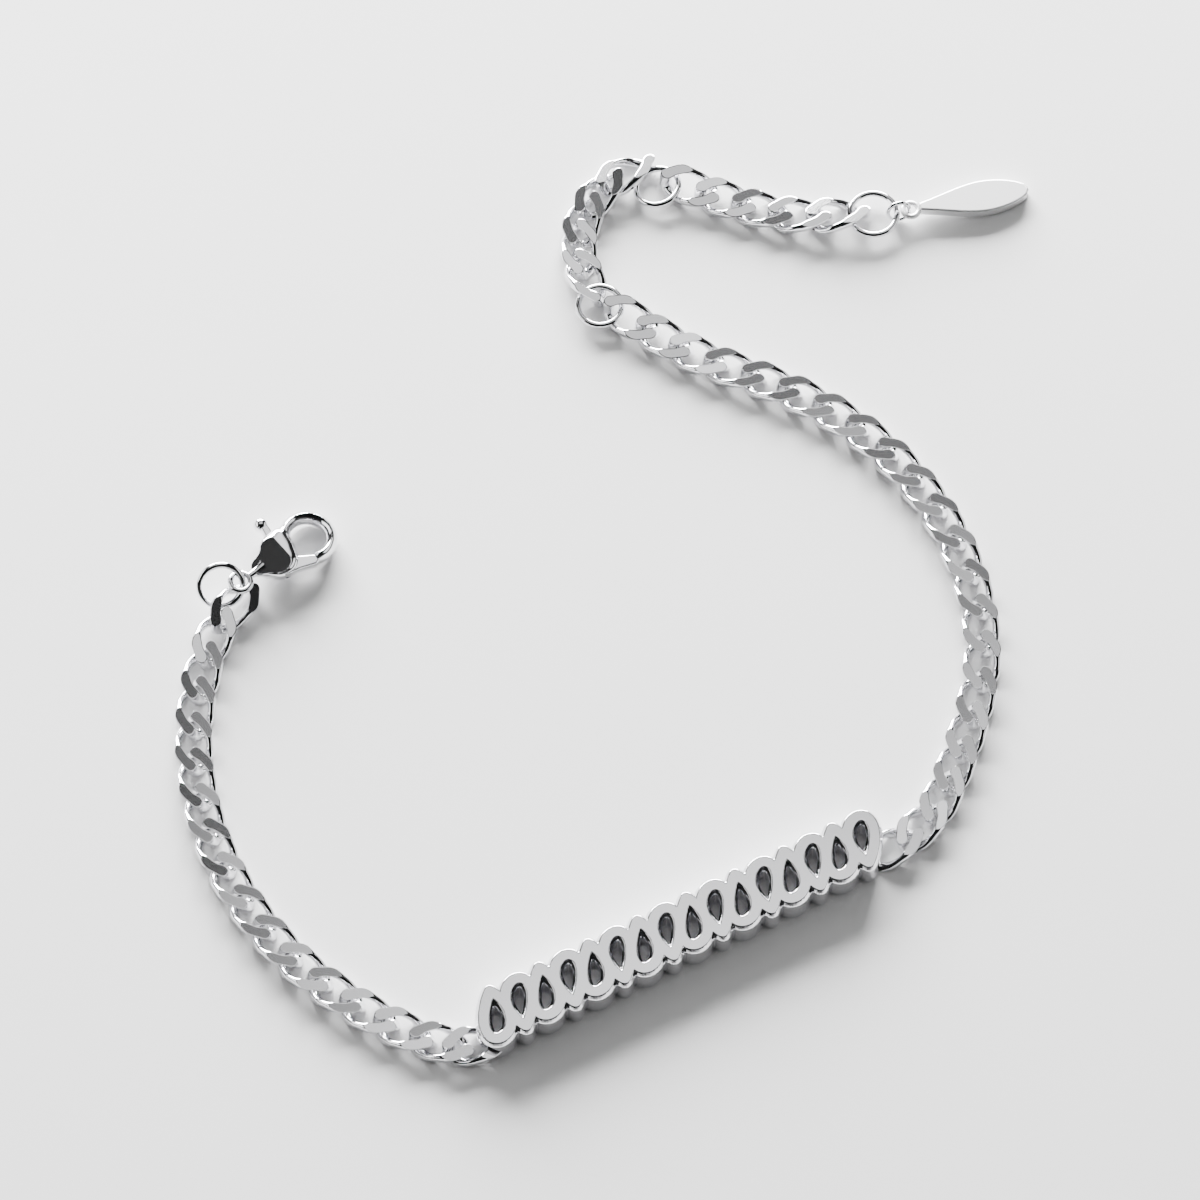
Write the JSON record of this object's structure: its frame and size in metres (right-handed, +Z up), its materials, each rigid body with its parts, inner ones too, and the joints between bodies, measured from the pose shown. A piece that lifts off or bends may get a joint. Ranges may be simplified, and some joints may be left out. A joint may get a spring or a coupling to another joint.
{
  "type": "nameplate bracelet",
  "caption": "Pierced scroll plate bracelet on a curb chain, with a lobster clasp, an extender and an end tag, lying open in a loose S.",
  "frame": {"origin": "middle of the plate's flat back face, on the surface the bracelet rests on", "axes": "+Z up from the surface, +Y along the length of the open S, +X to the right of it"},
  "size_m": [0.0717, 0.0841, 0.0035],
  "materials": {
    "polished_plate": "polished",
    "polished_chain": "polished, diamond cut",
    "polished_wire": "polished",
    "polished_clasp": "polished",
    "satin_tag": "satin"
  },
  "bodies": {
    "bracelet": {"clasp_body": "polished_clasp", "clasp_jump_ring": "polished_wire", "chain_clasp_side": "polished_chain", "nameplate": "polished_plate", "chain_long_side": "polished_chain", "extender_ring_1": "polished_wire", "extender_chain_lower": "polished_chain", "extender_ring_2": "polished_wire", "extender_chain_upper": "polished_chain", "extender_ring_3": "polished_wire", "tag_ring": "polished_wire", "tag": "satin_tag"},
    "lever": {"clasp_lever": "polished_clasp"}
  },
  "joints": [
    {"name": "lever_hinge", "type": "hinge", "parent": "bracelet", "child": "lever", "pos_m": [-0.03255, 0.03291, 0.00145], "axis": [0.0888, 0.0743, 0.9933], "range_deg": [0, 18], "stiffness_Nm_per_rad": 0.00002}
  ]
}
